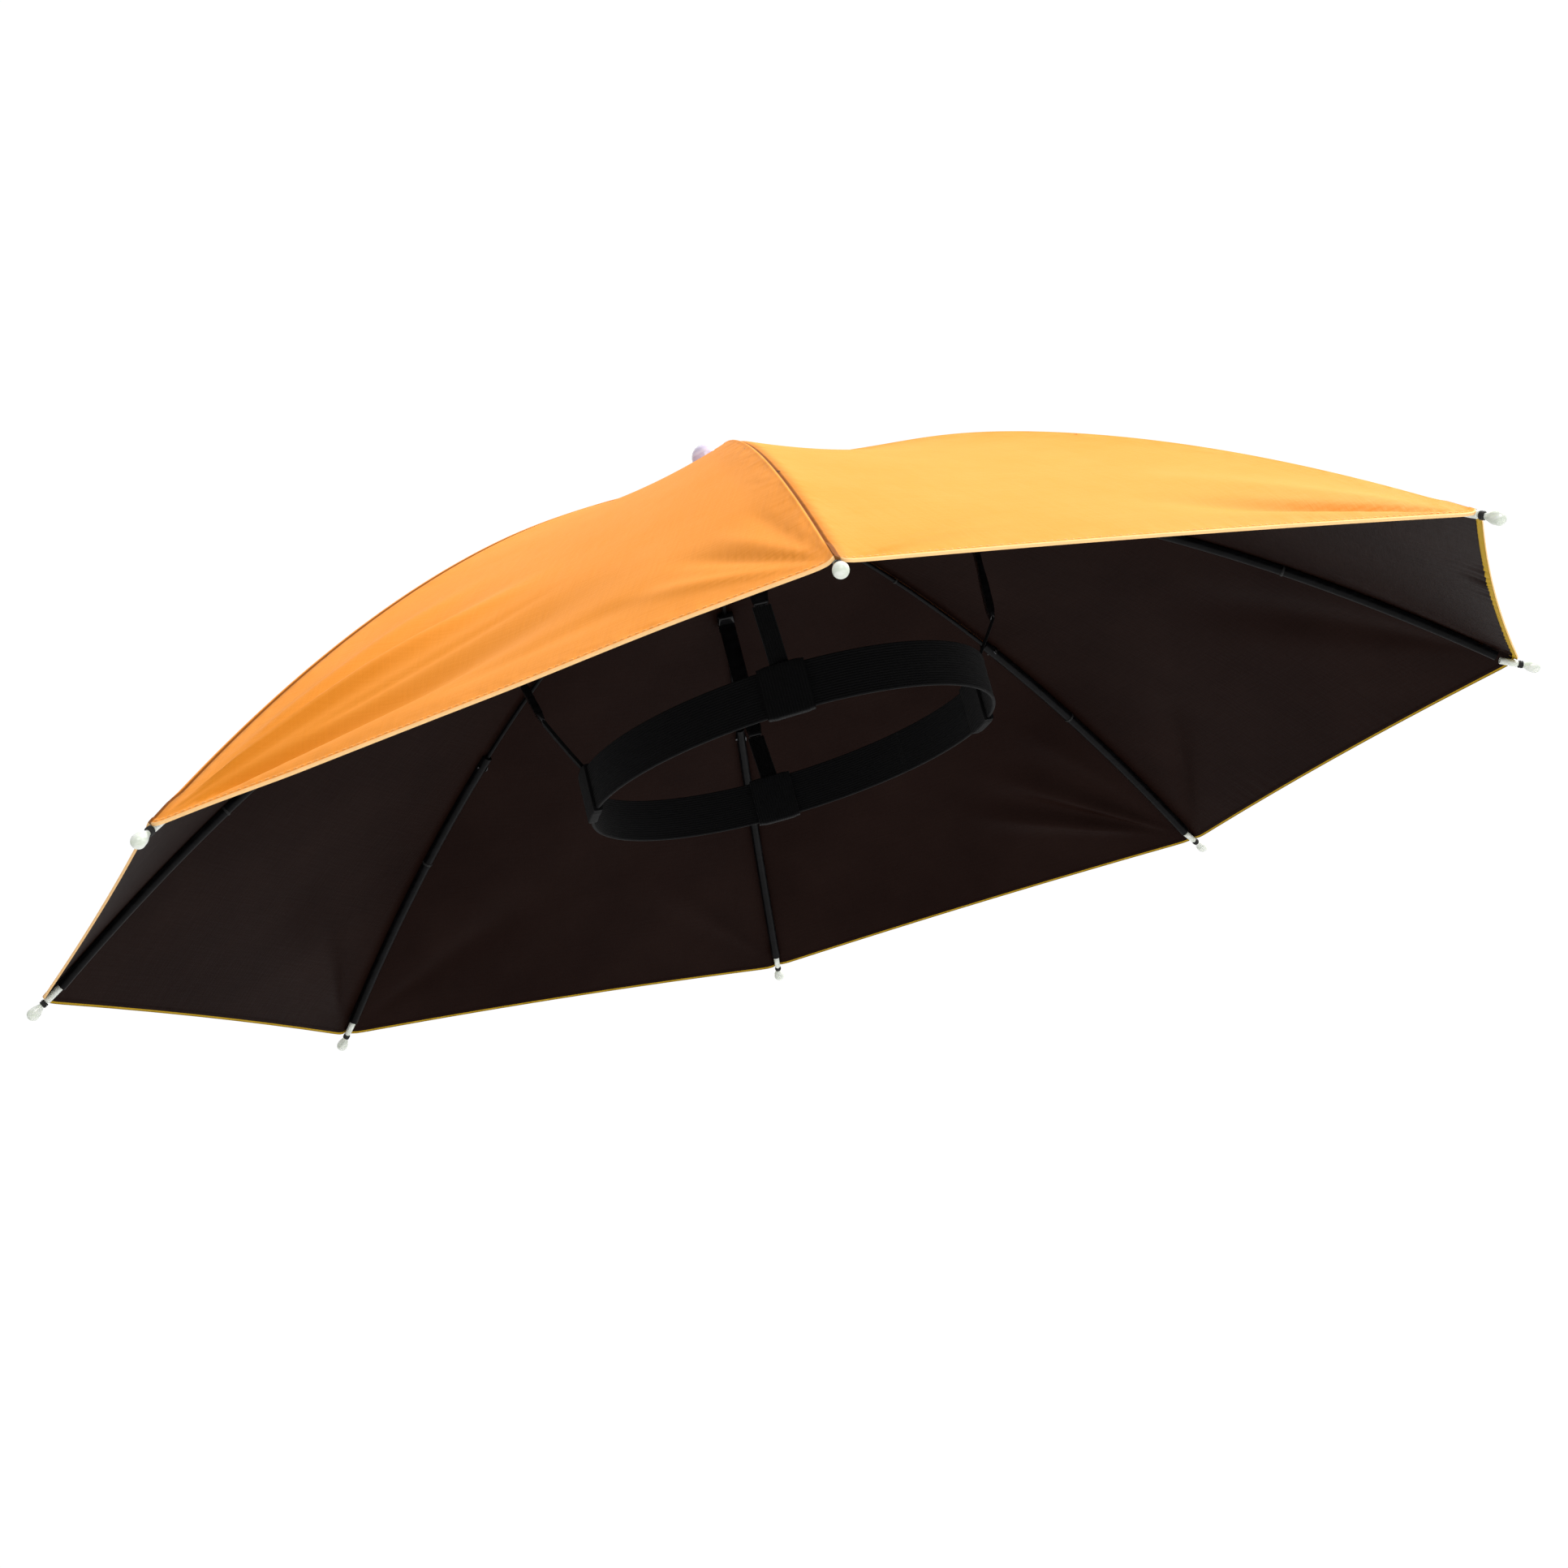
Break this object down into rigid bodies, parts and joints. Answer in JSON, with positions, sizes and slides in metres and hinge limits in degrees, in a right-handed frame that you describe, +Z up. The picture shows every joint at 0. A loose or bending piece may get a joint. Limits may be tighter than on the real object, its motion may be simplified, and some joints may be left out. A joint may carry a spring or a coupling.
{
  "type": "umbrella hat",
  "caption": "Cloth canopy on folding ribs with ball tips, worn on the head by an elastic band hung from stiff stays, to shade the wearer or keep off rain.",
  "frame": {"origin": "on the canopy's axis, at the middle of the headband's height", "axes": "+Z up along the canopy's axis to the finial, -Y the way the wearer faces, +X the wearer's left"},
  "size_m": [0.689, 0.689, 0.1995],
  "materials": {
    "canopy_cloth": "matt woven, orange outside and black coated inside",
    "rib_steel": "satin black",
    "tip_plastic": "glossy white",
    "finial_plastic": "glossy, pale lavender and slightly translucent",
    "hub_plastic": "matt black",
    "stay_plastic": "glossy black",
    "black_webbing": "ribbed woven elastic, black"
  },
  "bodies": {
    "root": {"panel_1": "canopy_cloth", "panel_2": "canopy_cloth", "panel_3": "canopy_cloth", "panel_4": "canopy_cloth", "panel_5": "canopy_cloth", "panel_6": "canopy_cloth", "panel_7": "canopy_cloth", "panel_8": "canopy_cloth", "rib_inner_1": "rib_steel", "rib_inner_2": "rib_steel", "rib_inner_3": "rib_steel", "rib_inner_4": "rib_steel", "rib_inner_5": "rib_steel", "rib_inner_6": "rib_steel", "rib_inner_7": "rib_steel", "rib_inner_8": "rib_steel", "rib_outer_1": "rib_steel", "rib_outer_2": "rib_steel", "rib_outer_3": "rib_steel", "rib_outer_4": "rib_steel", "rib_outer_5": "rib_steel", "rib_outer_6": "rib_steel", "rib_outer_7": "rib_steel", "rib_outer_8": "rib_steel", "tip_1": "tip_plastic", "tip_2": "tip_plastic", "tip_3": "tip_plastic", "tip_4": "tip_plastic", "tip_5": "tip_plastic", "tip_6": "tip_plastic", "tip_7": "tip_plastic", "tip_8": "tip_plastic", "hub": "hub_plastic", "finial": "finial_plastic", "headband": "black_webbing", "stay_2": "stay_plastic", "stay_4": "stay_plastic", "stay_6": "stay_plastic", "stay_8": "stay_plastic", "strap_2": "black_webbing", "strap_4": "black_webbing", "strap_6": "black_webbing", "strap_8": "black_webbing", "sleeve_2": "black_webbing", "sleeve_4": "black_webbing", "sleeve_6": "black_webbing", "sleeve_8": "black_webbing"}
  },
  "joints": []
}
